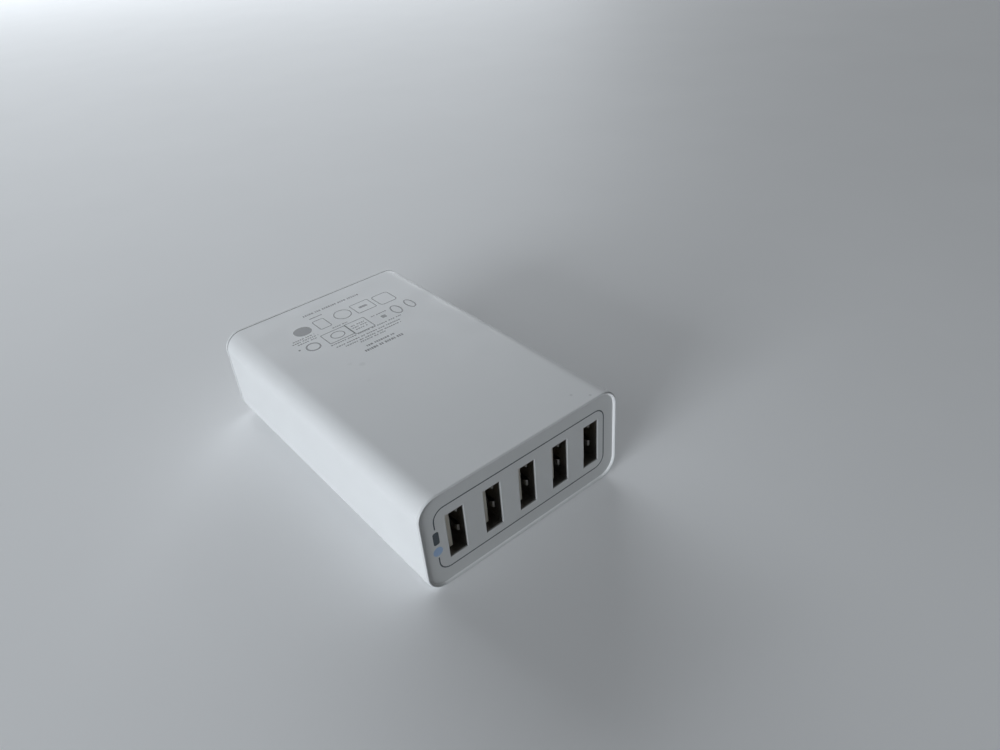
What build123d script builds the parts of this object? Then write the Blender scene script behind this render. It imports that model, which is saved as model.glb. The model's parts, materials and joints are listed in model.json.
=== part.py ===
"""A five-port USB desktop charger: a moulded sleeve closed by a recessed port panel and a rear cap.

The model is drawn as the charger stands in use, rating face down, front panel towards -Y, in millimetres.
It lies rating face up, so every piece is turned over about the long axis when it is written.
"""

import os

from build123d import *

# Housing, with its length along Y and its section in X and Z
LENGTH = 92.0
WIDTH = 57.0
HEIGHT = 25.8
CORNER_RADIUS = 5.0
WALL = 1.8
RIM_WALL = 0.55
RIM_CHAMFER = 0.2
FRONT_Y = -LENGTH / 2
REAR_Y = LENGTH / 2
MID_Z = HEIGHT / 2
EDGE_CHAMFER = 0.25
FIT_GAP = 0.06
TAB_THICKNESS = 1.2
TAB_WIDTH = 8.0
TAB_OFFSET = 15.0
TAB_ROOT = 0.3

# Front panel, set back inside the sleeve's rim
PANEL_RECESS = 0.5
PANEL_GAP = 0.12
PANEL_THICKNESS = 1.2
PANEL_FRONT_Y = FRONT_Y + PANEL_RECESS
PANEL_BACK_Y = PANEL_FRONT_Y + PANEL_THICKNESS
PANEL_TAB_DEPTH = 4.0

# Rear cap, parted from the sleeve by a narrow shadow groove
CAP_RIM = 0.95
GROOVE_WIDTH = 0.35
GROOVE_DEPTH = 0.6
CAP_TAB_DEPTH = 3.0
SLEEVE_END_Y = REAR_Y - CAP_RIM - GROOVE_WIDTH

# USB-A receptacles, standing on their short side
PORT_COUNT = 5
PORT_PITCH = 9.94
PORT_ROW_X = -0.48
PORT_ROW_Z = MID_Z + 0.21
PORT_WIDTH = 4.66
PORT_HEIGHT = 12.1
PORT_CHAMFER = 0.1
PORT_LIP = 0.4
SHELL_INNER_WIDTH = 5.12
SHELL_INNER_HEIGHT = 12.6
SHELL_SHEET = 0.3
SHELL_LENGTH = 14.1
SHELL_FRONT_Y = PANEL_FRONT_Y + PORT_LIP + FIT_GAP
SHELL_BACK_Y = SHELL_FRONT_Y + SHELL_LENGTH
SPRING_OFFSET = 2.8
SPRING_WIDTH = 1.7
SPRING_SHEET = 0.25
WINDOW_WIDTH = 2.4
WINDOW_START = 2.3
WINDOW_LENGTH = 4.2
SPRING_LEAN = ((0.2, 0.05), (0.45, 0.42), (1.0, 0.7), (1.7, 0.62), (4.2, 0.0))
TONGUE_WIDTH = 11.1
TONGUE_THICKNESS = 1.6
TONGUE_TIP_CHAMFER = 0.2
TONGUE_SET_BACK = 1.49
TONGUE_SIDE_GAP = 0.78
INSULATOR_BASE = 4.2
CONTACT_OFFSETS = (-3.5, -1.0, 1.0, 3.5)
CONTACT_WIDTH = 1.0
CONTACT_SHEET = 0.3
CONTACT_PROUD = 0.12
CONTACT_TIP_GAP = 0.8
TAIL_WIDTH = 0.6
SOLDER_TAIL = 1.2

# Boards
BOARD_THICKNESS = 1.6
BOARD_BOTTOM_Z = 4.0
BOARD_TOP_Z = BOARD_BOTTOM_Z + BOARD_THICKNESS
BOARD_WIDTH = 51.8
BOARD_FRONT_Y = -33.5
BOARD_REAR_Y = 41.0
USB_BOARD_WIDTH = 50.0
USB_BOARD_TOP_Z = 22.6
USB_BOARD_FRONT_Y = SHELL_BACK_Y
USB_BOARD_BACK_Y = USB_BOARD_FRONT_Y + BOARD_THICKNESS
PIN_HOLE_GAP = 0.1
RAIL_DEPTH = 1.7
RAIL_HEIGHT = 1.4
LEAD_SIZE = 0.7
LEAD_STICK_OUT = 1.0
SHEET_THICKNESS = 0.25
SHEET_MARGIN = 1.5

# Mains inlet with two round pins in a figure-of-eight well
INLET_WIDTH = 19.6
INLET_FRONT_RADIUS = 4.6
INLET_FACE_Y = REAR_Y - 0.3
INLET_DEPTH = 15.0
INLET_TOP_Z = MID_Z + 5.2
WELL_RADIUS = 3.65
WELL_WAIST = 5.8
WELL_DEPTH = 12.4
PIN_PITCH = 8.6
PIN_RADIUS = 1.18
PIN_ROOT_WIDTH = 3.0
PIN_TIP_CHAMFER = 0.6
PIN_SET_BACK = 2.2
PIN_TAIL = 1.6
PIN_TAIL_SHEET = 0.8

# Header between the two boards
HEADER_XS = (-6.22, -3.68, 3.68, 6.22)
HEADER_Y = -26.5
HEADER_BEND_Z = 7.4
HEADER_BAR = (15.2, 2.4, 1.0)

# Mains filter: fuse, surge disc, choke, suppression capacitor and bridge
FUSE_PLACE = (17.5, 36.0)
FUSE_SIZE = (8.4, 4.0, 8.0)
VARISTOR_PLACE = (-17.5, 36.0)
VARISTOR_DISC = (5.0, 4.0)
CHOKE_PLACE = (-15.5, 22.7)
CHOKE_FRAME = (14.0, 5.0, 12.6)
CHOKE_LEG = 3.2
CHOKE_WIRE = 1.4
CHOKE_BASE = (16.0, 10.0, 1.2)
FILTER_CAPACITOR_PLACE = (4.5, 25.7)
FILTER_CAPACITOR_SIZE = (18.0, 8.0, 14.0)
BRIDGE_PLACE = (22.3, 25.0)
BRIDGE_SIZE = (3.8, 14.5, 10.5)
BRIDGE_STAND = 1.5

# Storage capacitors, lying side by side
BULK_XS = (-18.0, -5.2)
BULK_MIDDLE_Y = 5.5
BULK_CAN = (6.2, 20.0)
BULK_LEAD_PITCH = 5.0

# Transformer: two E cores, bobbin and winding, coil axis across the board
TRANSFORMER_PLACE = (13.4, 2.0)
TRANSFORMER_MID_Z = BOARD_TOP_Z + 8.4
CORE_SIZE = (22.0, 20.0, 7.0)
CORE_LEG = 3.5
CORE_MIDDLE_LEG = 6.0
COIL_LENGTH = 14.6
COIL_WIDTH = 12.4
COIL_HEIGHT = 14.8
BOBBIN_WALL = 0.9
BOBBIN_RAIL = (4.0, 18.0, 2.6)
BOBBIN_PINS = 2
BOBBIN_PIN_PITCH = 12.0

# Power devices on upright heat sinks
SINK_SHEET = 1.5
SINK_HEIGHT = 17.2
PRIMARY_SINK = (2.0, 19.5, 17.6)
SECONDARY_SINK = (0.0, 22.0, -12.5)
DEVICE_TAB = (10.0, 1.3, 15.3)
DEVICE_BODY = (10.0, 4.2, 9.0)
DEVICE_STAND = 1.5
DEVICE_LEAD_PITCH = 2.54
DEVICE_HOLE_HEIGHT = 12.4
DEVICE_HOLE_RADIUS = 1.8
CLIP_WIDTH = 6.0
CLIP_SHEET = 0.6
CLIP_REACH = 6.0

# Output side
OUTPUT_CAPACITOR_XS = (-18.0, -7.0)
OUTPUT_CAPACITOR_Y = -20.0
OUTPUT_CAN = (4.0, 12.0)
OUTPUT_LEAD_PITCH = 3.5
INDUCTOR_PLACE = (19.0, -22.3)
INDUCTOR_SIZE = (10.0, 10.0, 6.0)
OPTOCOUPLER_PLACE = (-22.0, -9.0)
OPTOCOUPLER_SIZE = (4.6, 6.4, 3.4)
BRIDGING_CAPACITOR_PLACE = (-13.0, -9.6)
BRIDGING_CAPACITOR_DISC = (4.2, 3.2)
DRIVER_CHIP_PLACE = (0.0, 12.0)
CHIP_SIZE = (5.0, 4.0, 1.4)
CHARGE_CHIP_SIZE = 3.0


# Helpers that place sketches and blocks

def section(width, height, radius, inset=0.0):
    """The housing's rounded section, drawn in X and Z about its middle, taken in by inset."""
    return RectangleRounded(width - 2 * inset, height - 2 * inset, radius - inset * 0.85)


def prism(sketch, y_front, y_back, x=0.0, z=MID_Z):
    """A sketch in X and Z, extruded from y_front to y_back."""
    plane = Plane(origin=(x, y_back, z), x_dir=(1, 0, 0), z_dir=(0, -1, 0))
    return extrude(plane * sketch, y_back - y_front)


def flared_mouth(sketch, y_front, depth, x=0.0, z=MID_Z):
    """The cutter for a chamfered mouth: a sketch in X and Z that narrows at 45 degrees as it goes in."""
    plane = Plane(origin=(x, y_front, z), x_dir=(1, 0, 0), z_dir=(0, 1, 0))
    return extrude(plane * sketch, depth, taper=45)


def block(x_span, y_span, z_span):
    """A box between the three pairs of limits."""
    size = [high - low for low, high in (x_span, y_span, z_span)]
    middle = [(high + low) / 2 for low, high in (x_span, y_span, z_span)]
    return Pos(*middle) * Box(*size)


def centred_block(x, y, z_low, width, depth, height):
    """A box standing on z_low with its middle over x and y."""
    return Pos(x, y, z_low + height / 2) * Box(width, depth, height)


def upright(x, y, z_low, radius, height):
    """A cylinder standing on z_low."""
    return Pos(x, y, z_low + height / 2) * Cylinder(radius, height)


def lying(x, y, z, radius, length):
    """A cylinder along Y about its middle."""
    return Pos(x, y, z) * Rot(90, 0, 0) * Cylinder(radius, length)


def port_xs():
    """The middle of each port across the panel, from the right, which is the left once turned over."""
    return [PORT_ROW_X + ((PORT_COUNT - 1) / 2 - i) * PORT_PITCH for i in range(PORT_COUNT)]


def housing_section(inset=0.0):
    return section(WIDTH, HEIGHT, CORNER_RADIUS, inset)


# Housing

def sleeve_housing():
    """The tube, with a thin rim ahead of the panel's seat and two pairs of board rails inside."""
    tube = prism(housing_section(), FRONT_Y, SLEEVE_END_Y)
    tube = chamfer(tube.edges().group_by(Axis.Y)[0], EDGE_CHAMFER)
    tube -= prism(housing_section(WALL), PANEL_BACK_Y, SLEEVE_END_Y)
    tube -= prism(housing_section(RIM_WALL), FRONT_Y, PANEL_BACK_Y)
    tube -= flared_mouth(housing_section(RIM_WALL - RIM_CHAMFER), FRONT_Y, RIM_CHAMFER)
    wall_x = WIDTH / 2 - WALL
    rail_y = (PANEL_BACK_Y + PANEL_TAB_DEPTH + 1.0, SLEEVE_END_Y - CAP_TAB_DEPTH - 1.0)
    for side in (-1, 1):
        rail_x = sorted((side * (wall_x - RAIL_DEPTH), side * (wall_x + WALL / 2)))
        for z_low in (BOARD_BOTTOM_Z - FIT_GAP - RAIL_HEIGHT, BOARD_TOP_Z + FIT_GAP):
            tube += block(rail_x, rail_y, (z_low, z_low + RAIL_HEIGHT))
    return tube


def locating_tabs(y_span):
    """Two pairs of tabs that run inside the sleeve's broad walls."""
    tabs = []
    for z_low in (WALL + FIT_GAP, HEIGHT - WALL - FIT_GAP - TAB_THICKNESS):
        for x in (-TAB_OFFSET, TAB_OFFSET):
            tab_x = (x - TAB_WIDTH / 2, x + TAB_WIDTH / 2)
            tabs.append(block(tab_x, y_span, (z_low, z_low + TAB_THICKNESS)))
    return tabs


def front_panel():
    """The flat panel with five thin-lipped port openings, and locating tabs behind."""
    panel = prism(housing_section(RIM_WALL + PANEL_GAP), PANEL_FRONT_Y, PANEL_BACK_Y)
    for tab in locating_tabs((PANEL_BACK_Y - TAB_ROOT, PANEL_BACK_Y + PANEL_TAB_DEPTH)):
        panel += tab
    opening = Rectangle(PORT_WIDTH, PORT_HEIGHT)
    mouth = Rectangle(PORT_WIDTH + 2 * PORT_CHAMFER, PORT_HEIGHT + 2 * PORT_CHAMFER)
    pocket = shell_outline(SHELL_SHEET + FIT_GAP)
    for x in port_xs():
        panel -= prism(opening, PANEL_FRONT_Y, PANEL_BACK_Y, x, PORT_ROW_Z)
        panel -= prism(pocket, PANEL_FRONT_Y + PORT_LIP, PANEL_BACK_Y, x, PORT_ROW_Z)
        panel -= flared_mouth(mouth, PANEL_FRONT_Y, PORT_CHAMFER, x, PORT_ROW_Z)
    return panel


def rear_cap():
    """The end cap: a rim as wide as the sleeve, a groove, and tabs that hold it in the sleeve."""
    rim = prism(housing_section(), REAR_Y - CAP_RIM, REAR_Y)
    rim = chamfer(rim.edges().group_by(Axis.Y)[-1], EDGE_CHAMFER)
    neck = prism(housing_section(GROOVE_DEPTH), SLEEVE_END_Y, REAR_Y - CAP_RIM)
    cap = rim + neck
    for tab in locating_tabs((SLEEVE_END_Y - CAP_TAB_DEPTH, SLEEVE_END_Y + TAB_ROOT)):
        cap += tab
    return cap - prism(inlet_head(FIT_GAP), SLEEVE_END_Y, REAR_Y)


# Mains inlet

def inlet_head(gap=0.0):
    """The round-ended outline of the part of the inlet that shows in the rear cap."""
    width = PIN_PITCH + 2 * (INLET_FRONT_RADIUS + gap)
    return SlotOverall(width, 2 * (INLET_FRONT_RADIUS + gap))


def inlet_body():
    """The insulator: a head through the cap, a block on the board behind it, and the pin well."""
    block_back = INLET_FACE_Y - INLET_DEPTH
    head_front = SLEEVE_END_Y - CAP_TAB_DEPTH
    body = prism(inlet_head(), head_front, INLET_FACE_Y)
    body += block((-INLET_WIDTH / 2, INLET_WIDTH / 2), (block_back, head_front), (BOARD_TOP_Z, INLET_TOP_Z))
    lobes = [Pos(side * PIN_PITCH / 2, 0) * Circle(WELL_RADIUS) for side in (-1, 1)]
    well = lobes[0] + lobes[1] + Rectangle(PIN_PITCH, WELL_WAIST)
    body -= prism(well, INLET_FACE_Y - WELL_DEPTH, INLET_FACE_Y)
    for pin in inlet_pins():
        body -= pin
    return body


def inlet_pins():
    """The two round pins, each with a square root held in the insulator and a tail through the board."""
    pins = []
    tip_y = INLET_FACE_Y - PIN_SET_BACK
    floor_y = INLET_FACE_Y - WELL_DEPTH
    back_y = INLET_FACE_Y - INLET_DEPTH
    for side in (-1, 1):
        x = side * PIN_PITCH / 2
        pin = lying(x, (tip_y + floor_y) / 2, MID_Z, PIN_RADIUS, tip_y - floor_y)
        pin = chamfer(pin.edges().group_by(Axis.Y)[-1], PIN_TIP_CHAMFER)
        pin += prism(Rectangle(PIN_ROOT_WIDTH, PIN_ROOT_WIDTH), back_y, floor_y, x)
        tail_x = (x - PIN_TAIL / 2, x + PIN_TAIL / 2)
        tail_y = (back_y - PIN_TAIL_SHEET, back_y)
        pin += block(tail_x, tail_y, (BOARD_BOTTOM_Z - LEAD_STICK_OUT, MID_Z + PIN_TAIL / 2))
        pins.append(pin)
    return pins


# USB-A receptacles

def shell_outline(grow=0.0):
    """The inner outline of a receptacle's shell, grown all round."""
    return Rectangle(SHELL_INNER_WIDTH + 2 * grow, SHELL_INNER_HEIGHT + 2 * grow)


def usb_shell(x):
    """The drawn steel shell with two sprung fingers in each broad wall."""
    walls = shell_outline(SHELL_SHEET) - shell_outline()
    shell = prism(walls, SHELL_FRONT_Y, SHELL_BACK_Y, x, PORT_ROW_Z)
    window_y = (SHELL_FRONT_Y + WINDOW_START, SHELL_FRONT_Y + WINDOW_START + WINDOW_LENGTH)
    for side in (-1, 1):
        wall_in = x + side * SHELL_INNER_WIDTH / 2
        wall_out = wall_in + side * SHELL_SHEET
        for z_offset in (-SPRING_OFFSET, SPRING_OFFSET):
            z = PORT_ROW_Z + z_offset
            shell -= block(
                sorted((wall_in - side * 0.01, wall_out + side * 0.01)),
                window_y,
                (z - WINDOW_WIDTH / 2, z + WINDOW_WIDTH / 2),
            )
            shell += spring_finger(wall_in, side, z)
    return shell


def spring_finger(wall_in, side, z):
    """A finger cut from the wall: it rises from its root at the back to a nose that turns out again."""
    front = SHELL_FRONT_Y + WINDOW_START
    inner = [(wall_in - side * depth, front + along) for along, depth in SPRING_LEAN]
    outer = [(px + side * SPRING_SHEET, py) for px, py in reversed(inner)]
    outline = make_face(Polyline(*inner, *outer, close=True))
    return Pos(0, 0, z - SPRING_WIDTH / 2) * extrude(outline, SPRING_WIDTH)


def tongue_x(x):
    """The two sides of the tongue, which sits on the port's right when the charger stands in use."""
    right = x + SHELL_INNER_WIDTH / 2 - TONGUE_SIDE_GAP
    return right - TONGUE_THICKNESS, right


def usb_contacts(x):
    """The four contact strips of one port, with their solder tails."""
    face_x = tongue_x(x)[0]
    strip_x = (face_x - CONTACT_PROUD, face_x - CONTACT_PROUD + CONTACT_SHEET)
    strip_y = (SHELL_FRONT_Y + TONGUE_SET_BACK + CONTACT_TIP_GAP, SHELL_BACK_Y)
    tail_y = (SHELL_BACK_Y, USB_BOARD_BACK_Y + SOLDER_TAIL)
    strips = []
    for z_offset in CONTACT_OFFSETS:
        z = PORT_ROW_Z + z_offset
        strip = block(strip_x, strip_y, (z - CONTACT_WIDTH / 2, z + CONTACT_WIDTH / 2))
        strips.append(strip + block(strip_x, tail_y, (z - TAIL_WIDTH / 2, z + TAIL_WIDTH / 2)))
    return strips


def usb_insulator(x):
    """The moulded base that fills the back of the shell, and the tongue that carries the contacts."""
    tongue_front = SHELL_FRONT_Y + TONGUE_SET_BACK
    base_front = SHELL_BACK_Y - INSULATOR_BASE
    tongue_z = (PORT_ROW_Z - TONGUE_WIDTH / 2, PORT_ROW_Z + TONGUE_WIDTH / 2)
    tongue = block(tongue_x(x), (tongue_front, base_front), tongue_z)
    tongue = chamfer(tongue.edges().group_by(Axis.Y)[0], TONGUE_TIP_CHAMFER)
    insulator = tongue + prism(shell_outline(-FIT_GAP), base_front, SHELL_BACK_Y, x, PORT_ROW_Z)
    for strip in usb_contacts(x):
        insulator -= strip
    return insulator


# Boards

def usb_board():
    """The upright board that carries the receptacles, holed for their tails."""
    board = block(
        (-USB_BOARD_WIDTH / 2, USB_BOARD_WIDTH / 2),
        (USB_BOARD_FRONT_Y, USB_BOARD_BACK_Y),
        (BOARD_TOP_Z, USB_BOARD_TOP_Z),
    )
    for x in port_xs():
        tail_x = tongue_x(x)[0] - CONTACT_PROUD + CONTACT_SHEET / 2
        for z_offset in CONTACT_OFFSETS:
            board -= usb_board_hole(tail_x, PORT_ROW_Z + z_offset, CONTACT_SHEET, TAIL_WIDTH)
    for x in HEADER_XS:
        board -= usb_board_hole(x, HEADER_BEND_Z, LEAD_SIZE, LEAD_SIZE)
    return board


def usb_board_hole(x, z, width, height):
    """The clearance hole for one tail through the upright board."""
    half_x = width / 2 + PIN_HOLE_GAP
    half_z = height / 2 + PIN_HOLE_GAP
    return block((x - half_x, x + half_x), (USB_BOARD_FRONT_Y, USB_BOARD_BACK_Y), (z - half_z, z + half_z))


def main_board(lead_places):
    """The board that fills the sleeve, holed for every lead that passes through it."""
    board = block(
        (-BOARD_WIDTH / 2, BOARD_WIDTH / 2), (BOARD_FRONT_Y, BOARD_REAR_Y), (BOARD_BOTTOM_Z, BOARD_TOP_Z)
    )
    half = LEAD_SIZE / 2 + PIN_HOLE_GAP
    for x, y in lead_places:
        board -= block((x - half, x + half), (y - half, y + half), (BOARD_BOTTOM_Z, BOARD_TOP_Z))
    pin_y = INLET_FACE_Y - INLET_DEPTH - PIN_TAIL_SHEET / 2
    for side in (-1, 1):
        board -= centred_block(
            side * PIN_PITCH / 2,
            pin_y,
            BOARD_BOTTOM_Z,
            PIN_TAIL + 2 * PIN_HOLE_GAP,
            PIN_TAIL_SHEET + 2 * PIN_HOLE_GAP,
            BOARD_THICKNESS,
        )
    return board


def insulating_sheet():
    """The thin sheet that lies between the board's solder side and the sleeve's floor."""
    half_width = WIDTH / 2 - CORNER_RADIUS - SHEET_MARGIN
    return block(
        (-half_width, half_width),
        (BOARD_FRONT_Y, BOARD_REAR_Y - SHEET_MARGIN),
        (WALL, WALL + SHEET_THICKNESS),
    )


def lead(x, y, top_z=BOARD_TOP_Z):
    """One square lead from top_z down through the main board."""
    low_z = BOARD_BOTTOM_Z - LEAD_STICK_OUT
    return centred_block(x, y, low_z, LEAD_SIZE, LEAD_SIZE, top_z - low_z)


def add_leads(body, places, top_z=BOARD_TOP_Z):
    """The body with a lead at each place."""
    for x, y in places:
        body += lead(x, y, top_z)
    return body


def header_pins():
    """Right-angled pins from the main board to the upright one."""
    pins = []
    half = LEAD_SIZE / 2
    for x in HEADER_XS:
        pin = lead(x, HEADER_Y, HEADER_BEND_Z + half)
        pin += block(
            (x - half, x + half),
            (USB_BOARD_FRONT_Y + half, HEADER_Y),
            (HEADER_BEND_Z - half, HEADER_BEND_Z + half),
        )
        pins.append(pin)
    return pins


def header_bar():
    """The strip that spaces the header pins."""
    bar = centred_block(0, HEADER_Y, BOARD_TOP_Z, *HEADER_BAR)
    for pin in header_pins():
        bar -= pin
    return bar


# Mains filter

def fuse():
    x, y = FUSE_PLACE
    body = centred_block(x, y, BOARD_TOP_Z, *FUSE_SIZE)
    body = chamfer(body.edges().filter_by(Axis.Z), 0.5)
    places = [(x - 2.5, y), (x + 2.5, y)]
    return add_leads(body, places), places


def disc_capacitor(place, disc, along_x, lead_spread):
    """A dipped disc standing on two leads."""
    x, y = place
    radius, thickness = disc
    z = BOARD_TOP_Z + radius + 0.6
    turn = Rot(0, 90, 0) if along_x else Rot(90, 0, 0)
    body = Pos(x, y, z) * turn * Cylinder(radius, thickness)
    step = (0, lead_spread / 2) if along_x else (lead_spread / 2, 0)
    places = [(x - step[0], y - step[1]), (x + step[0], y + step[1])]
    return add_leads(body, places, z - radius / 2), places


def choke():
    """The square core, a winding on each of its upright legs and the base that it stands on."""
    x, y = CHOKE_PLACE
    width, depth, height = CHOKE_FRAME
    base = centred_block(x, y, BOARD_TOP_Z, *CHOKE_BASE)
    low_z = BOARD_TOP_Z + CHOKE_BASE[2]
    window_height = height - 2 * CHOKE_LEG
    core = centred_block(x, y, low_z, width, depth, height)
    core -= centred_block(x, y, low_z + CHOKE_LEG, width - 2 * CHOKE_LEG, depth, window_height)
    windings = []
    for side in (-1, 1):
        leg_x = x + side * (width - CHOKE_LEG) / 2
        winding = centred_block(
            leg_x, y, low_z + CHOKE_LEG, CHOKE_LEG + 2 * CHOKE_WIRE, depth + 2 * CHOKE_WIRE, window_height
        )
        windings.append(winding - core)
    places = [(x + i * 6.0, y + j * 3.5) for i in (-1, 1) for j in (-1, 1)]
    return core, windings, add_leads(base, places), places


def filter_capacitor():
    x, y = FILTER_CAPACITOR_PLACE
    body = centred_block(x, y, BOARD_TOP_Z, *FILTER_CAPACITOR_SIZE)
    body = chamfer(body.edges().filter_by(Axis.Z), 0.4)
    places = [(x - 7.5, y), (x + 7.5, y)]
    return add_leads(body, places), places


def bridge_rectifier():
    x, y = BRIDGE_PLACE
    low_z = BOARD_TOP_Z + BRIDGE_STAND
    body = centred_block(x, y, low_z, *BRIDGE_SIZE)
    body = chamfer(body.edges().group_by(Axis.Z)[-1].sort_by(Axis.Y)[-1], 2.0)
    places = [(x, y + (i - 1.5) * 3.8) for i in range(4)]
    return add_leads(body, places, low_z), places


# Storage capacitors

def bulk_capacitor(x):
    radius, length = BULK_CAN
    z = BOARD_TOP_Z + radius + 0.05
    foot_y = BULK_MIDDLE_Y + length / 2
    body = lying(x, BULK_MIDDLE_Y, z, radius, length)
    places = []
    half = LEAD_SIZE / 2
    for side in (-1, 1):
        lead_x = x + side * BULK_LEAD_PITCH / 2
        lead_y = foot_y + 1.2
        body += block((lead_x - half, lead_x + half), (foot_y - 0.5, lead_y + half), (z - half, z + half))
        body += lead(lead_x, lead_y, z)
        places.append((lead_x, lead_y))
    return body, places


# Transformer

def core_halves():
    """Two E cores, meeting in the middle of the coil."""
    x, y = TRANSFORMER_PLACE
    length, width, thickness = CORE_SIZE
    profile = Rectangle(length, width)
    window_width = (width - CORE_MIDDLE_LEG) / 2 - CORE_LEG
    window_y = (CORE_MIDDLE_LEG + window_width) / 2
    for side in (-1, 1):
        profile -= Pos(0, side * window_y) * Rectangle(length - 2 * CORE_LEG, window_width)
    core = Pos(x, y, TRANSFORMER_MID_Z - thickness / 2) * extrude(profile, thickness)
    halves = []
    for side in (-1, 1):
        half_x = sorted((x, x + side * length))
        halves.append(core & block(half_x, (y - width, y + width), (0, HEIGHT)))
    return halves


def bobbin():
    """The former: a tube round the middle leg, two flanges, and a pin rail under each flange."""
    x, y = TRANSFORMER_PLACE
    z = TRANSFORMER_MID_Z
    rail_length, rail_width, rail_height = BOBBIN_RAIL
    tube_width = CORE_MIDDLE_LEG + 2 * BOBBIN_WALL
    tube_height = CORE_SIZE[2] + 2 * BOBBIN_WALL
    body = Pos(x, y, z) * Box(COIL_LENGTH, tube_width, tube_height)
    places = []
    for side in (-1, 1):
        flange_x = x + side * (COIL_LENGTH - BOBBIN_WALL) / 2
        body += Pos(flange_x, y, z) * Box(BOBBIN_WALL, COIL_WIDTH, COIL_HEIGHT)
        rail_x = x + side * (COIL_LENGTH + rail_length) / 2 - side * BOBBIN_WALL
        body += centred_block(rail_x, y, BOARD_TOP_Z, rail_length, rail_width, rail_height)
        for i in range(BOBBIN_PINS):
            places.append((rail_x, y + (i - (BOBBIN_PINS - 1) / 2) * BOBBIN_PIN_PITCH))
    body -= Pos(x, y, z) * Box(COIL_LENGTH, CORE_MIDDLE_LEG + FIT_GAP, CORE_SIZE[2] + FIT_GAP)
    return add_leads(body, places), places


def winding():
    """The taped coil between the bobbin's flanges."""
    x, y = TRANSFORMER_PLACE
    length = COIL_LENGTH - 2 * BOBBIN_WALL
    coil = Pos(x, y, TRANSFORMER_MID_Z) * Box(length, COIL_WIDTH - 0.4, COIL_HEIGHT - 0.4)
    coil = fillet(coil.edges().filter_by(Axis.X), 2.0)
    tube = Box(length, CORE_MIDDLE_LEG + 2 * BOBBIN_WALL, CORE_SIZE[2] + 2 * BOBBIN_WALL)
    return coil - Pos(x, y, TRANSFORMER_MID_Z) * tube


# Power devices

def sink_middle(sink):
    return (sink[0] + sink[1]) / 2


def heat_sink(sink):
    """An upright aluminium sheet with cut corners and two feet through the board."""
    x_low, x_high, face_y = sink
    sheet = block((x_low, x_high), (face_y, face_y + SINK_SHEET), (BOARD_TOP_Z, BOARD_TOP_Z + SINK_HEIGHT))
    top_edges = sheet.edges().filter_by(Axis.Y).group_by(Axis.Z)[-1]
    sheet = chamfer(top_edges, 1.2)
    mid_y = face_y + SINK_SHEET / 2
    places = [(x_low + 1.5, mid_y), (x_high - 1.5, mid_y)]
    return add_leads(sheet, places), places


def power_device(sink):
    """A three-legged device whose tab lies flat on the front of its heat sink."""
    x = sink_middle(sink)
    face_y = sink[2]
    low_z = BOARD_TOP_Z + DEVICE_STAND
    tab_width, tab_depth, tab_height = DEVICE_TAB
    body_width, body_depth, body_height = DEVICE_BODY
    device = centred_block(x, face_y - tab_depth / 2, low_z, tab_width, tab_depth, tab_height)
    body = centred_block(x, face_y - 0.2 - body_depth / 2, low_z, body_width, body_depth, body_height)
    device += chamfer(body.edges().group_by(Axis.Y)[0], 0.5)
    hole_z = low_z + DEVICE_HOLE_HEIGHT
    device -= lying(x, face_y - tab_depth / 2, hole_z, DEVICE_HOLE_RADIUS, tab_depth)
    lead_y = face_y - 2.6
    places = [(x + (i - 1) * DEVICE_LEAD_PITCH, lead_y) for i in range(3)]
    return add_leads(device, places, low_z), places


def sink_clip(sink):
    """The spring clip over the heat sink's top edge that grips the device's tab."""
    x = sink_middle(sink)
    top_z = BOARD_TOP_Z + SINK_HEIGHT
    clip_x = (x - CLIP_WIDTH / 2, x + CLIP_WIDTH / 2)
    tab_y = sink[2] - DEVICE_TAB[1]
    back_y = sink[2] + SINK_SHEET
    clip = block(clip_x, (tab_y - CLIP_SHEET, back_y + CLIP_SHEET), (top_z - CLIP_REACH, top_z + CLIP_SHEET))
    return clip - block(clip_x, (tab_y, back_y), (top_z - CLIP_REACH, top_z))


# Output side

def output_capacitor(x):
    radius, height = OUTPUT_CAN
    body = upright(x, OUTPUT_CAPACITOR_Y, BOARD_TOP_Z, radius, height)
    places = [(x + side * OUTPUT_LEAD_PITCH / 2, OUTPUT_CAPACITOR_Y) for side in (-1, 1)]
    return add_leads(body, places), places


def output_inductor():
    """A shielded inductor: a moulded block with its corners cut."""
    x, y = INDUCTOR_PLACE
    body = centred_block(x, y, BOARD_TOP_Z, *INDUCTOR_SIZE)
    body = chamfer(body.edges().filter_by(Axis.Z), 1.5)
    places = [(x - 2.5, y), (x + 2.5, y)]
    return add_leads(body, places), places


def optocoupler():
    x, y = OPTOCOUPLER_PLACE
    width, depth, height = OPTOCOUPLER_SIZE
    body = centred_block(x, y, BOARD_TOP_Z, width, depth, height)
    body = chamfer(body.edges().group_by(Axis.Z)[-1], 0.4)
    places = [(x + i * 1.27, y + j * 2.54) for i in (-1, 1) for j in (-1, 1)]
    return add_leads(body, places), places


def driver_chip():
    """The switching controller on the solder side."""
    x, y = DRIVER_CHIP_PLACE
    width, depth, height = CHIP_SIZE
    body = centred_block(x, y, BOARD_BOTTOM_Z - height, width, depth, height)
    return chamfer(body.edges().group_by(Axis.Z)[0], 0.3)


def charge_chips():
    """One charging controller behind each gap between ports, on the upright board."""
    chips = []
    for left, right in zip(port_xs(), port_xs()[1:]):
        x = (left + right) / 2
        y = USB_BOARD_BACK_Y + CHIP_SIZE[2] / 2
        chip = Pos(x, y, MID_Z) * Box(CHARGE_CHIP_SIZE, CHIP_SIZE[2], CHARGE_CHIP_SIZE)
        chips.append(chamfer(chip.edges().group_by(Axis.Y)[-1], 0.3))
    return chips


# Writing

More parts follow.
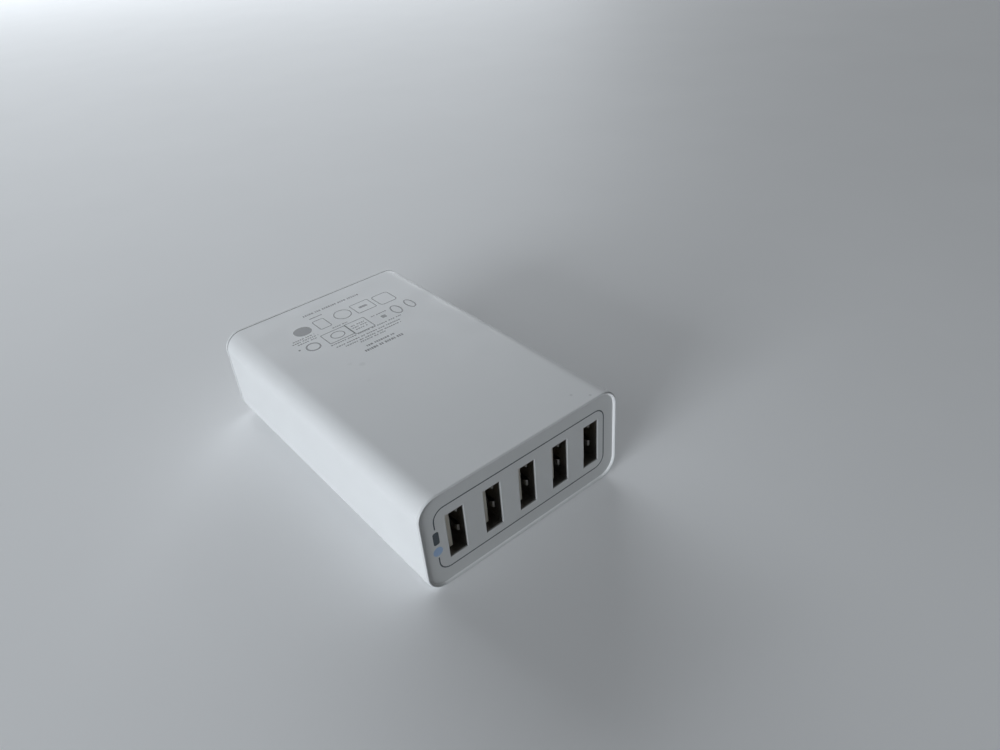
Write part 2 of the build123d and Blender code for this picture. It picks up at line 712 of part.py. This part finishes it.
def export(name, *solids):
    """Turns the piece over about the long axis, as the charger lies, and writes it."""
    turned = [Pos(0, 0, MID_Z) * Rot(0, 180, 0) * Pos(0, 0, -MID_Z) * solid for solid in solids]
    shape = turned[0] if len(turned) == 1 else Compound(children=turned)
    export_step(shape, f"parts/{name}.step")


def export_housing():
    export("sleeve_housing", sleeve_housing())
    export("front_panel", front_panel())
    export("rear_cap", rear_cap())
    export("inlet_body", inlet_body())
    for number, pin in enumerate(inlet_pins(), 1):
        export(f"inlet_pin_{number}", pin)


def export_usb_side():
    for number, x in enumerate(port_xs(), 1):
        export(f"usb_shell_{number}", usb_shell(x))
        export(f"usb_insulator_{number}", usb_insulator(x))
        export(f"usb_contacts_{number}", *usb_contacts(x))
    export("usb_board", usb_board())
    export("charge_chips", *charge_chips())
    export("header_pins", *header_pins())
    export("header_bar", header_bar())


def export_board_side():
    """Writes what stands on the main board, then the board with a hole for every lead."""
    choke_core, choke_windings, choke_base, choke_leads = choke()
    export("choke_core", choke_core)
    export("choke_windings", *choke_windings)
    export("choke_base", choke_base)
    components = {
        "fuse": fuse(),
        "varistor": disc_capacitor(VARISTOR_PLACE, VARISTOR_DISC, False, 7.5),
        "filter_capacitor": filter_capacitor(),
        "bridge_rectifier": bridge_rectifier(),
        "transformer_bobbin": bobbin(),
        "primary_heat_sink": heat_sink(PRIMARY_SINK),
        "switching_transistor": power_device(PRIMARY_SINK),
        "secondary_heat_sink": heat_sink(SECONDARY_SINK),
        "output_rectifier": power_device(SECONDARY_SINK),
        "output_inductor": output_inductor(),
        "optocoupler": optocoupler(),
        "bridging_capacitor": disc_capacitor(BRIDGING_CAPACITOR_PLACE, BRIDGING_CAPACITOR_DISC, True, 6.0),
    }
    for number, x in enumerate(BULK_XS, 1):
        components[f"bulk_capacitor_{number}"] = bulk_capacitor(x)
    for number, x in enumerate(OUTPUT_CAPACITOR_XS, 1):
        components[f"output_capacitor_{number}"] = output_capacitor(x)
    lead_places = choke_leads + [(x, HEADER_Y) for x in HEADER_XS]
    for name, (solid, places) in components.items():
        export(name, solid)
        lead_places += places
    export("transformer_core", *core_halves())
    export("transformer_winding", winding())
    export("heat_sink_clips", *[sink_clip(sink) for sink in (PRIMARY_SINK, SECONDARY_SINK)])
    export("driver_chip", driver_chip())
    export("main_board", main_board(lead_places))
    export("insulating_sheet", insulating_sheet())


def main():
    os.makedirs("parts", exist_ok=True)
    export_housing()
    export_usb_side()
    export_board_side()


main()
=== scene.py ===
"""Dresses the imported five-port USB desktop charger: materials, print, floor, light and camera."""

import itertools
import json
import math

import bmesh
import bpy
from mathutils import Matrix, Vector


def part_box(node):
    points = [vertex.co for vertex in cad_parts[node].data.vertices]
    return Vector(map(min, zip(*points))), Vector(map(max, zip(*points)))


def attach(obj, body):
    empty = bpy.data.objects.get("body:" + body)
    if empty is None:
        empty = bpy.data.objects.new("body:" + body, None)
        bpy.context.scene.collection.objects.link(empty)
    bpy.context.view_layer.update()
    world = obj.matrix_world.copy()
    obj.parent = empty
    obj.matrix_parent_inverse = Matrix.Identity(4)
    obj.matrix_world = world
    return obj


MM = 0.001

# Camera, in millimetres and degrees
CAMERA_PLACE = (-78.358, -142.121, 128.683)
CAMERA_AZIMUTH = -37.368
CAMERA_ELEVATION = 34.537
CAMERA_ROLL = -4.967
CAMERA_LENS = 27.317
CAMERA_SENSOR = 36.0
CAMERA_NEAR = 10.0

# Light: a low soft box at the left, a broad one behind, a weak high one at the left, and a dim even surround
LAMPS = {
    # name: place, width and height in millimetres, power in watts
    "left_lamp": ((-1000.0, -240.0, 230.0), (500.0, 400.0), 6.8),
    "back_lamp": ((720.0, 2160.0, 650.0), (2600.0, 1150.0), 40.0),
    "high_lamp": ((-800.0, -200.0, 600.0), (800.0, 600.0), 1.9),
}
LAMP_AIM = (0.0, 0.0, 10.0)
LAMP_COLOUR = (0.90, 0.95, 1.0)
SURROUND_COLOUR = (0.020, 0.020, 0.019)
BACKGROUND_COLOUR = (0.42, 0.43, 0.44)

# Floor
FLOOR_HALF = 2500.0
FLOOR_COLOUR = (0.90, 0.905, 0.91)
FLOOR_ROUGHNESS = 0.62
FLOOR_GRAIN = 60.0

# Print is a film that stands this far out of the surface, and is let in by as much
INK_PROUD = 0.012
INK_GREY = (0.12, 0.125, 0.13)
INK_SLATE = (0.06, 0.075, 0.09)
INK_BLUE = (0.36, 0.50, 0.72)

# Printed line round the ports, on the front panel, and the bar and spot in the gap at its left
LINE_HALF_WIDTH = 24.6
LINE_HALF_HEIGHT = 8.55
LINE_CORNER = 2.8
LINE_STROKE = 0.30
LINE_GAP = (8.7, 16.75)
MARK_BAR = (14.2, 0.75, 1.75, 0.5)  # middle, half width, half height, corner radius
MARK_SPOT = (10.45, 1.2)  # middle, radius
CORNER_STEPS = 8
ELLIPSE_STEPS = 40

# Print block on the upper face: words of short strokes, boxes, rings and solid shapes
STROKE_WIDTHS = (0.42, 0.55, 0.30, 0.50, 0.62, 0.36, 0.48)
STROKE_GAP = 0.20
WORD_LENGTHS = (5, 3, 7, 4, 6, 2)
WORD_GAP = 0.60
TEXT_ROWS = (
    # y, low x, high x, height
    (38.3, -7.8, 10.3, 0.80),
    (27.7, -16.4, -10.0, 0.45),
    (26.6, -17.0, -9.4, 0.45),
    (25.5, -16.0, -10.4, 0.45),
    (26.6, -5.0, -0.4, 0.45),
    (23.6, -1.0, 3.2, 0.45),
    (22.4, -1.2, 3.4, 0.45),
    (21.2, -0.8, 2.8, 0.45),
    (24.0, 5.7, 11.0, 0.45),
    (18.8, -9.8, 12.1, 0.45),
    (17.1, -9.2, 11.1, 0.45),
    (15.8, -7.2, 10.1, 0.45),
    (14.7, -3.3, 4.4, 0.45),
    (11.9, -3.2, 5.4, 0.75),
    (10.0, -4.8, 6.8, 0.95),
)
BOX_STROKE = 0.27
BOXES = (
    # centre, half width, half height, corner radius
    ((14.1, 30.5), 2.6, 3.0, 0.9),
    ((7.35, 31.0), 2.9, 2.8, 0.3),
    ((-5.8, 31.0), 1.7, 2.7, 0.5),
    ((-5.7, 22.6), 3.7, 2.8, 0.2),
    ((1.05, 22.4), 3.0, 3.2, 0.2),
)
RINGS = (
    # centre, half width, half height, stroke
    ((0.9, 31.3), 2.4, 2.6, 0.30),
    ((-13.3, 22.0), 1.8, 1.9, 0.45),
    ((-5.65, 22.6), 1.9, 1.7, 0.30),
    ((13.0, 22.4), 1.3, 2.4, 0.40),
    ((17.6, 22.5), 1.1, 2.5, 0.40),
)
SOLIDS = (
    # centre, half width, half height, corner radius
    ((-11.65, 31.2), 2.5, 2.4, 2.3),
    ((-5.2, 35.7), 2.0, 0.2, 0.1),
    ((7.35, 31.0), 1.3, 0.5, 0.2),
    ((-16.85, 23.0), 0.3, 0.3, 0.2),
    ((8.4, 21.7), 0.75, 0.75, 0.3),
)

# Sloped strip from the rim's edge to the panel: inset from the outline, and depth behind the front edge
RIM_BEVEL = ((0.30, 0.01), (0.80, 0.495), (0.55, 0.495))
# Painted highlight: the strip is paler than the housing, so that the rim's edge shows as a bright line
RIM_HIGHLIGHT_WHITE = (0.93, 0.935, 0.94)

# Painted shadow: a dark band in the groove between the sleeve and the rear cap, standing in for the groove's
# shade
SEAM_WIDTH = 0.35
SEAM_INSET = 0.08
SEAM_DEPTH = 0.30
SEAM_SHADE_GREY = (0.08, 0.082, 0.085)
HOUSING_CORNER = 5.0

# Faint smudges on the upper face, each at full strength out to a share of its radius
SMUDGE_CORE = 0.4
SMUDGES = (
    # place, radius, share of the colour lost
    ((-8.6, 5.4), 1.1, 0.10),
    ((-10.8, 7.7), 0.8, 0.06),
    ((-11.2, -1.9), 0.8, 0.04),
    ((18.5, -41.2), 0.5, 0.16),
    ((21.5, -44.3), 0.45, 0.20),
)

# Painted shade in the cut edges of the port openings: their colour darkens from just behind the panel's
# face, over a short depth
PORT_WALL_SHADE_START = 0.02
PORT_WALL_SHADE_DEPTH = 0.10
PORT_WALL_SHADE_LOSS = 0.55

# Grain of the slow colour drift in moulded plastic, and the pitch of a wave texture at a scale of one
DRIFT_GRAIN = 9.0
WAVE_PITCH = 0.314

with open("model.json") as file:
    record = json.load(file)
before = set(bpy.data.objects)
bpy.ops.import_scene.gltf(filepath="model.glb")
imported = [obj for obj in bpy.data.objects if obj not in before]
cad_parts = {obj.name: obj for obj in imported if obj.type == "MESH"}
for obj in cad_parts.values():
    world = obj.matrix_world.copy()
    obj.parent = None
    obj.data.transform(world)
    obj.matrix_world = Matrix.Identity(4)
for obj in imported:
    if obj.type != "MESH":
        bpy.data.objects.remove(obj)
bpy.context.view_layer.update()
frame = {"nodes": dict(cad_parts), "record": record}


# Mesh helpers

def new_piece(name, mesh_builder, material):
    """A mesh object from a builder that fills a bmesh; it rides on the root body."""
    bm = bmesh.new()
    mesh_builder(bm)
    bmesh.ops.recalc_face_normals(bm, faces=bm.faces)
    mesh = bpy.data.meshes.new(name)
    bm.to_mesh(mesh)
    bm.free()
    mesh.materials.append(material)
    piece = bpy.data.objects.new(name, mesh)
    bpy.context.scene.collection.objects.link(piece)
    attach(piece, "root")


def add_plate(bm, outline, place):
    """A thin closed plate of the given outline, let into the surface and a little proud of it."""
    low = [bm.verts.new(place(u, v, -INK_PROUD)) for u, v in outline]
    high = [bm.verts.new(place(u, v, INK_PROUD)) for u, v in outline]
    bm.faces.new(high)
    bm.faces.new(list(reversed(low)))
    for i in range(len(outline)):
        j = (i + 1) % len(outline)
        bm.faces.new((low[i], low[j], high[j], high[i]))


def offset_path(path, distance, closed):
    """The path moved sideways, each point square to the chord between its neighbours."""
    moved = []
    count = len(path)
    for i, point in enumerate(path):
        before = path[i - 1] if closed or i > 0 else point
        after = path[(i + 1) % count] if closed or i < count - 1 else point
        along = Vector((after[0] - before[0], after[1] - before[1])).normalized()
        moved.append((point[0] - along.y * distance, point[1] + along.x * distance))
    return moved


def join_rings(bm, rings, closed):
    """Skins a row of equal rings of points, and caps its ends where it doesn't close on itself."""
    rings = [[bm.verts.new(point) for point in ring] for ring in rings]
    corners = len(rings[0])
    last = len(rings) if closed else len(rings) - 1
    for i in range(last):
        j = (i + 1) % len(rings)
        for k in range(corners):
            m = (k + 1) % corners
            bm.faces.new((rings[i][k], rings[j][k], rings[j][m], rings[i][m]))
    if not closed:
        bm.faces.new(rings[0])
        bm.faces.new(list(reversed(rings[-1])))


def add_ribbon(bm, path, stroke, place, closed, half_depth=INK_PROUD):
    """A thin closed band that follows a path."""
    left = offset_path(path, stroke / 2, closed)
    right = offset_path(path, -stroke / 2, closed)
    rings = []
    for a, b in zip(left, right):
        corners = ((a, -half_depth), (a, half_depth), (b, half_depth), (b, -half_depth))
        rings.append([place(*point, out) for point, out in corners])
    join_rings(bm, rings, closed)


def arc(centre, radius, start, end, steps):
    """Points on an arc, with the angles in degrees."""
    points = []
    for i in range(steps + 1):
        angle = math.radians(start + (end - start) * i / steps)
        points.append((centre[0] + radius * math.cos(angle), centre[1] + radius * math.sin(angle)))
    return points


def rounded_rectangle(centre, half_width, half_height, radius):
    """The outline of a rectangle with round corners, from its lower right corner round."""
    x, y = centre
    inner_x = half_width - radius
    inner_y = half_height - radius
    points = []
    for start, sx, sy in ((-90, 1, -1), (0, 1, 1), (90, -1, 1), (180, -1, -1)):
        points += arc((x + sx * inner_x, y + sy * inner_y), radius, start, start + 90, CORNER_STEPS)
    return points


def rectangle(centre, half_width, half_height):
    """The corners of a rectangle, from its lower right corner round."""
    x, y = centre
    signs = ((1, -1), (1, 1), (-1, 1), (-1, -1))
    return [(x + sx * half_width, y + sy * half_height) for sx, sy in signs]


def ellipse(centre, half_width, half_height):
    """The outline of an ellipse, from its right end round."""
    x, y = centre
    turn = [2 * math.pi * i / ELLIPSE_STEPS for i in range(ELLIPSE_STEPS)]
    return [(x + half_width * math.cos(a), y + half_height * math.sin(a)) for a in turn]


# Material helpers

class Shader:
    """A material under construction, with its shader and an object-space position to work from."""

    def __init__(self, name, colour, roughness, metallic=0.0):
        self.material = bpy.data.materials.new(name)
        self.material.use_nodes = True
        self.nodes = self.material.node_tree.nodes
        self.links = self.material.node_tree.links
        self.bsdf = self.nodes["Principled BSDF"]
        self.bsdf.inputs["Base Color"].default_value = (*colour, 1.0)
        self.bsdf.inputs["Roughness"].default_value = roughness
        self.bsdf.inputs["Metallic"].default_value = metallic
        self.colour = colour
        self.roughness = roughness
        self.place = self.nodes.new("ShaderNodeTexCoord").outputs["Object"]

    def stretched(self, factors):
        """The position scaled apart along the three axes."""
        node = self.nodes.new("ShaderNodeMapping")
        node.inputs["Scale"].default_value = factors
        self.links.new(self.place, node.inputs["Vector"])
        return node.outputs["Vector"]

    def noise(self, grain_mm, detail=3.0, vector=None):
        """A noise whose features are about grain_mm across."""
        node = self.nodes.new("ShaderNodeTexNoise")
        node.inputs["Scale"].default_value = 1.0 / (grain_mm * MM)
        node.inputs["Detail"].default_value = detail
        self.links.new(vector or self.place, node.inputs["Vector"])
        return node.outputs["Fac"]

    def wave(self, pitch_mm, axis, distortion=0.0):
        """Bands of the given pitch along an axis."""
        node = self.nodes.new("ShaderNodeTexWave")
        node.bands_direction = axis
        node.inputs["Scale"].default_value = WAVE_PITCH / (pitch_mm * MM)
        node.inputs["Distortion"].default_value = distortion
        self.links.new(self.place, node.inputs["Vector"])
        return node.outputs["Fac"]

    def map(self, value, low, high, from_low=0.3, from_high=0.7):
        """The value taken from one range to another, and held at its ends."""
        node = self.nodes.new("ShaderNodeMapRange")
        node.inputs["From Min"].default_value = from_low
        node.inputs["From Max"].default_value = from_high
        node.inputs["To Min"].default_value = low
        node.inputs["To Max"].default_value = high
        self.links.new(value, node.inputs["Value"])
        return node.outputs["Result"]

    def tint(self, value, low, high, from_low=0.3, from_high=0.7):
        """The base colour goes from low to high as the value rises."""
        node = self.nodes.new("ShaderNodeMix")
        node.data_type = "RGBA"
        node.inputs["A"].default_value = (*low, 1.0)
        node.inputs["B"].default_value = (*high, 1.0)
        self.links.new(self.map(value, 0.0, 1.0, from_low, from_high), node.inputs["Factor"])
        self.links.new(node.outputs["Result"], self.bsdf.inputs["Base Color"])

    def vary(self, value, colour_share, roughness_spread):
        """Small drifts of colour and roughness."""
        low = [c * (1.0 - colour_share) for c in self.colour]
        high = [min(1.0, c * (1.0 + colour_share)) for c in self.colour]
        self.tint(value, low, high)
        rough = self.map(value, self.roughness - roughness_spread, self.roughness + roughness_spread)
        self.links.new(rough, self.bsdf.inputs["Roughness"])

    def smudge(self, place_mm, radius_mm, share):
        """A soft spot that takes a share off the base colour."""
        distance = self.nodes.new("ShaderNodeVectorMath")
        distance.operation = "DISTANCE"
        distance.inputs[1].default_value = [c * MM for c in place_mm]
        self.links.new(self.place, distance.inputs[0])
        core = SMUDGE_CORE * radius_mm * MM
        self.darken(self.map(distance.outputs["Value"], 1.0 - share, 1.0, core, radius_mm * MM))

    def paint_shade_behind(self, y_mm, depth_mm, share):
        """Paints shade: takes a share off the base colour of whatever lies behind a front face."""
        split = self.nodes.new("ShaderNodeSeparateXYZ")
        self.links.new(self.place, split.inputs["Vector"])
        self.darken(self.map(split.outputs["Y"], 1.0, 1.0 - share, y_mm * MM, (y_mm + depth_mm) * MM))

    def darken(self, kept):
        """Multiplies the base colour by a value."""
        node = self.nodes.new("ShaderNodeMix")
        node.data_type = "RGBA"
        node.blend_type = "MULTIPLY"
        node.inputs["Factor"].default_value = 1.0
        self.links.new(self.bsdf.inputs["Base Color"].links[0].from_socket, node.inputs["A"])
        self.links.new(kept, node.inputs["B"])
        self.links.new(node.outputs["Result"], self.bsdf.inputs["Base Color"])

    def bump(self, value, depth_mm, strength=1.0):
        """Fine relief that follows a value."""
        node = self.nodes.new("ShaderNodeBump")
        node.inputs["Strength"].default_value = strength
        node.inputs["Distance"].default_value = depth_mm * MM
        self.links.new(value, node.inputs["Height"])
        self.links.new(node.outputs["Normal"], self.bsdf.inputs["Normal"])


def moulded(name, colour, roughness, grain_mm=0.12, depth_mm=0.004, drift=0.015):
    """Moulded plastic: a slow drift of colour and a fine spark-eroded grain."""
    shader = Shader(name, colour, roughness)
    shader.vary(shader.noise(DRIFT_GRAIN), drift, roughness_spread=0.04)
    shader.bump(shader.noise(grain_mm, detail=2.0), depth_mm, strength=0.6)
    return shader


def brushed(name, colour, roughness, along, grain_mm=0.05):
    """Sheet metal with fine drawn lines along one axis."""
    shader = Shader(name, colour, roughness, metallic=1.0)
    factors = tuple(0.06 if axis == along else 1.0 for axis in "XYZ")
    lines = shader.noise(grain_mm, 2.0, shader.stretched(factors))
    shader.vary(lines, colour_share=0.10, roughness_spread=0.06)
    shader.bump(lines, depth_mm=0.002, strength=0.5)
    return shader


# Materials of the record's slots

def housing_white():
    """Satin white plastic, with the few smudges of the upper face."""
    shader = moulded("housing_white", (0.76, 0.77, 0.775), 0.48, grain_mm=0.16, depth_mm=0.004, drift=0.012)
    top_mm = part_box("sleeve_housing")[1].z / MM
    for (x, y), radius, share in SMUDGES:
        shader.smudge((x, y, top_mm), radius, share)
    return shader


def panel_white():
    """Pale grey plastic, with painted shade in the cut edges of the port openings."""
    shader = moulded("panel_white", (0.65, 0.66, 0.66), 0.40, grain_mm=0.10, depth_mm=0.003, drift=0.010)
    face_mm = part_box("front_panel")[0].y / MM
    shader.paint_shade_behind(face_mm + PORT_WALL_SHADE_START, PORT_WALL_SHADE_DEPTH, PORT_WALL_SHADE_LOSS)
    return shader


def inlet_white():
    return moulded("inlet_white", (0.74, 0.74, 0.72), 0.42, grain_mm=0.12, depth_mm=0.003, drift=0.015)


def plated_pin():
    return brushed("plated_pin", (0.74, 0.73, 0.70), 0.20, "Y")


def shell_steel():
    return brushed("shell_steel", (0.30, 0.29, 0.275), 0.32, "Y")


def tongue_ivory():
    return moulded("tongue_ivory", (0.80, 0.76, 0.66), 0.45, grain_mm=0.10, depth_mm=0.003, drift=0.03)


def contact_gold():
    return brushed("contact_gold", (0.80, 0.60, 0.28), 0.24, "Y")


def board_green():
    """Solder mask over tracks, which show as faint raised lines."""
    shader = Shader("board_green", (0.03, 0.16, 0.07), 0.32)
    tracks = shader.wave(2.4, "X", 6.0)
    shader.tint(tracks, (0.02, 0.12, 0.05), (0.05, 0.22, 0.10), 0.45, 0.55)
    shader.bump(shader.map(tracks, 0.0, 1.0, 0.45, 0.55), 0.03, 0.5)
    return shader


def chip_black():
    return moulded("chip_black", (0.03, 0.03, 0.032), 0.5, grain_mm=0.08, depth_mm=0.004, drift=0.10)


def ferrite():
    return moulded("ferrite", (0.06, 0.06, 0.065), 0.62, grain_mm=0.20, depth_mm=0.010, drift=0.20)


def bobbin_black():
    return moulded("bobbin_black", (0.04, 0.04, 0.042), 0.46, grain_mm=0.12, depth_mm=0.004, drift=0.10)


def winding_tape():
    """Overlapping turns of clear yellow tape."""
    shader = Shader("winding_tape", (0.75, 0.56, 0.08), 0.28)
    laps = shader.wave(3.2, "X", 0.6)
    shader.tint(laps, (0.66, 0.46, 0.05), (0.80, 0.62, 0.12), 0.2, 0.8)
    shader.bump(laps, 0.05, 0.4)
    return shader


def copper_wire():
    """Close turns of enamelled wire, stacked up the legs, with painted shade in the grooves between the
    turns.
    """
    shader = Shader("copper_wire", (0.66, 0.30, 0.14), 0.30, metallic=1.0)
    turns = shader.wave(0.7, "Z", 0.2)
    # Painted shade: the colour darkens in the grooves between the turns
    shader.tint(turns, (0.30, 0.11, 0.05), (0.78, 0.38, 0.18), 0.1, 0.7)
    shader.bump(turns, 0.30, 0.8)
    return shader


def film_yellow():
    return moulded("film_yellow", (0.78, 0.62, 0.10), 0.36, grain_mm=0.15, depth_mm=0.003, drift=0.03)


def disc_blue():
    return moulded("disc_blue", (0.07, 0.17, 0.42), 0.30, grain_mm=0.60, depth_mm=0.020, drift=0.08)


def can_sleeve():
    return moulded("can_sleeve", (0.03, 0.04, 0.06), 0.30, grain_mm=0.40, depth_mm=0.006, drift=0.15)


def heat_sink():
    return brushed("heat_sink", (0.70, 0.70, 0.71), 0.34, "Z", 0.08)


def fastener_steel():
    return brushed("fastener_steel", (0.58, 0.58, 0.57), 0.28, "X")


def sheet_clear():
    return moulded("sheet_clear", (0.78, 0.78, 0.72), 0.30, grain_mm=0.50, depth_mm=0.004, drift=0.02)


SLOT_MATERIALS = (
    housing_white, panel_white, inlet_white, plated_pin, shell_steel, tongue_ivory, contact_gold,
    board_green, chip_black, ferrite, bobbin_black, winding_tape, copper_wire, film_yellow, disc_blue,
    can_sleeve, heat_sink, fastener_steel, sheet_clear,
)


def dress_nodes():
    """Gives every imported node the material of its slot."""
    materials = {make.__name__: make().material for make in SLOT_MATERIALS}
    for row in frame["record"]["subparts"]:
        mesh = frame["nodes"][row["node"]].data
        mesh.materials.clear()
        mesh.materials.append(materials[row["material_slot"]])


def ink(name, colour):
    """Screen print, and the painted shadow of the seam: an even film with slight thin spots."""
    shader = Shader(name, colour, 0.42)
    shader.vary(shader.noise(0.4), colour_share=0.06, roughness_spread=0.05)
    shader.bump(shader.noise(0.15, detail=2.0), depth_mm=0.003, strength=0.4)
    return shader.material


# Print on the front panel

def panel_place():
    """A function from across, up and out to the front panel's face."""
    face_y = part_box("front_panel")[0].y

    def place(u, v, out):
        return u * MM, face_y - out * MM, v * MM

    return place


def line_path(middle_z):
    """The line from the top of the gap at its left, over the ports and back to the bottom of the gap."""
    corners = rounded_rectangle((0.0, middle_z), LINE_HALF_WIDTH, LINE_HALF_HEIGHT, LINE_CORNER)
    steps = CORNER_STEPS + 1
    lower_right, upper_right, upper_left, lower_left = (corners[i * steps:(i + 1) * steps] for i in range(4))
    start = (-LINE_HALF_WIDTH, LINE_GAP[1])
    end = (-LINE_HALF_WIDTH, LINE_GAP[0])
    return [start] + upper_left[::-1] + upper_right[::-1] + lower_right[::-1] + lower_left[::-1] + [end]


def print_panel():
    """The line round the ports, and the bar and spot in its gap."""
    low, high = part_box("front_panel")
    middle_z = (low.z + high.z) / 2 / MM
    place = panel_place()
    slate = ink("ink_slate", INK_SLATE)
    blue = ink("ink_blue", INK_BLUE)

    def line(bm):
        add_ribbon(bm, line_path(middle_z), LINE_STROKE, place, False)

    def bar(bm):
        bar_z, half_width, half_height, corner = MARK_BAR
        add_plate(bm, rounded_rectangle((-LINE_HALF_WIDTH, bar_z), half_width, half_height, corner), place)

    def spot(bm):
        spot_z, radius = MARK_SPOT
        add_plate(bm, ellipse((-LINE_HALF_WIDTH, spot_z), radius, radius), place)

    new_piece("panel_line", line, slate)
    new_piece("panel_mark_bar", bar, slate)
    new_piece("panel_mark_spot", spot, blue)


# Print on the upper face

def print_top():
    """Rows of short strokes, and the outlines and solid shapes between them."""
    top_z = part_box("sleeve_housing")[1].z

    def place(u, v, out):
        return u * MM, v * MM, top_z + out * MM

    def rows(bm):
        widths = itertools.cycle(STROKE_WIDTHS)
        words = itertools.cycle(WORD_LENGTHS)
        for y, x_low, x_high, height in TEXT_ROWS:
            x = x_low
            left_in_word = next(words)
            while x < x_high:
                end = min(x + next(widths), x_high)
                add_plate(bm, rectangle(((x + end) / 2, y), (end - x) / 2, height / 2), place)
                left_in_word -= 1
                if left_in_word:
                    x = end + STROKE_GAP
                else:
                    x = end + WORD_GAP
                    left_in_word = next(words)

    def shapes(bm):
        for box in BOXES:
            add_ribbon(bm, rounded_rectangle(*box), BOX_STROKE, place, True)
        for centre, half_width, half_height, stroke in RINGS:
            add_ribbon(bm, ellipse(centre, half_width, half_height), stroke, place, True)
        for solid in SOLIDS:
            add_plate(bm, rounded_rectangle(*solid), place)

    grey = ink("ink_grey", INK_GREY)
    new_piece("top_print_rows", rows, grey)
    new_piece("top_print_shapes", shapes, grey)


# Rim, with its painted highlight, and seam, with its painted shadow

def housing_path(inset):
    """The sleeve's outline seen from the front, moved inwards."""
    low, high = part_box("sleeve_housing")
    middle = ((low.x + high.x) / 2 / MM, (low.z + high.z) / 2 / MM)
    half_width = (high.x - low.x) / 2 / MM - inset
    half_height = (high.z - low.z) / 2 / MM - inset
    return rounded_rectangle(middle, half_width, half_height, HOUSING_CORNER - inset)


def bevel_rim():
    """The sloped strip round the panel, paler than the housing as a painted highlight."""
    front_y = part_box("sleeve_housing")[0].y
    paths = [housing_path(inset) for inset, depth in RIM_BEVEL]
    depths = [depth for inset, depth in RIM_BEVEL]
    rings = []
    for points in zip(*paths):
        rings.append([(u * MM, front_y + depth * MM, v * MM) for (u, v), depth in zip(points, depths)])

    def strip(bm):
        join_rings(bm, rings, True)

    polished_with_painted_highlight = moulded("rim_highlight_white", RIM_HIGHLIGHT_WHITE, 0.25, grain_mm=0.10, depth_mm=0.001, drift=0.01).material
    new_piece("rim_bevel", strip, polished_with_painted_highlight)


def paint_seam_shade():
    """A dark band round the housing in the groove ahead of the rear cap: painted shadow of the groove."""
    seam_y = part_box("sleeve_housing")[1].y / MM + SEAM_WIDTH / 2
    path = housing_path(SEAM_INSET + SEAM_DEPTH / 2)

    def place(u, v, along):
        return u * MM, (seam_y + along) * MM, v * MM

    def band(bm):
        add_ribbon(bm, path, SEAM_DEPTH, place, True, SEAM_WIDTH / 2)

    # The band is painted shadow, drawn with the print's shader
    new_piece("seam_shade_band", band, ink("seam_shade_grey", SEAM_SHADE_GREY))


# Floor, light and camera

def make_floor():
    """One broad pale sheet under the charger."""
    half = FLOOR_HALF * MM
    bm = bmesh.new()
    corners = [bm.verts.new((x * half, y * half, 0.0)) for x, y in ((-1, -1), (1, -1), (1, 1), (-1, 1))]
    bm.faces.new(corners)
    mesh = bpy.data.meshes.new("floor")
    bm.to_mesh(mesh)
    bm.free()
    shader = Shader("floor", FLOOR_COLOUR, FLOOR_ROUGHNESS)
    shader.vary(shader.noise(FLOOR_GRAIN), colour_share=0.01, roughness_spread=0.0)
    mesh.materials.append(shader.material)
    floor = bpy.data.objects.new("floor", mesh)
    bpy.context.scene.collection.objects.link(floor)


def make_lamp(name, place, size, power):
    """A soft box that faces the charger."""
    light = bpy.data.lights.new(name, "AREA")
    light.shape = "RECTANGLE"
    light.size, light.size_y = (side * MM for side in size)
    light.energy = power
    light.color = LAMP_COLOUR
    lamp = bpy.data.objects.new(name, light)
    turn = (Vector(LAMP_AIM) - Vector(place)).to_track_quat("-Z", "Y")
    lamp.matrix_world = Matrix.Translation(Vector(place) * MM) @ turn.to_matrix().to_4x4()
    bpy.context.scene.collection.objects.link(lamp)


def make_world():
    """An even dim surround, which camera, glossy and transmitted rays see as a pale background."""
    world = bpy.data.worlds.new("surround")
    world.use_nodes = True
    bpy.context.scene.world = world
    nodes = world.node_tree.nodes
    links = world.node_tree.links
    path = nodes.new("ShaderNodeLightPath")
    seen = path.outputs["Is Camera Ray"]
    for ray in ("Is Glossy Ray", "Is Transmission Ray"):
        either = nodes.new("ShaderNodeMath")
        either.operation = "MAXIMUM"
        links.new(seen, either.inputs[0])
        links.new(path.outputs[ray], either.inputs[1])
        seen = either.outputs[0]
    mix = nodes.new("ShaderNodeMix")
    mix.data_type = "RGBA"
    mix.inputs["A"].default_value = (*SURROUND_COLOUR, 1.0)
    mix.inputs["B"].default_value = (*BACKGROUND_COLOUR, 1.0)
    links.new(seen, mix.inputs["Factor"])
    links.new(mix.outputs["Result"], nodes["Background"].inputs["Color"])


def make_camera():
    """The camera at the photo's place, turned by its azimuth, elevation and roll."""
    azimuth, elevation, roll = (
        math.radians(angle) for angle in (CAMERA_AZIMUTH, CAMERA_ELEVATION, CAMERA_ROLL)
    )
    back = Vector((
        math.sin(azimuth) * math.cos(elevation),
        -math.cos(azimuth) * math.cos(elevation),
        math.sin(elevation),
    ))
    right = Vector((0, 0, 1)).cross(back).normalized()
    up = back.cross(right)
    turned_right = math.cos(roll) * right + math.sin(roll) * up
    turned_up = math.cos(roll) * up - math.sin(roll) * right
    turn = Matrix((turned_right, turned_up, back)).transposed().to_4x4()
    data = bpy.data.cameras.new("camera")
    data.sensor_width = CAMERA_SENSOR
    data.lens = CAMERA_LENS
    data.clip_start = CAMERA_NEAR * MM
    camera = bpy.data.objects.new("camera", data)
    camera.matrix_world = Matrix.Translation(Vector(CAMERA_PLACE) * MM) @ turn
    bpy.context.scene.collection.objects.link(camera)
    bpy.context.scene.camera = camera


bpy.context.scene.view_settings.view_transform = "Standard"
dress_nodes()
print_panel()
print_top()
bevel_rim()
paint_seam_shade()
make_floor()
for lamp_name, lamp_values in LAMPS.items():
    make_lamp(lamp_name, *lamp_values)
make_world()
make_camera()
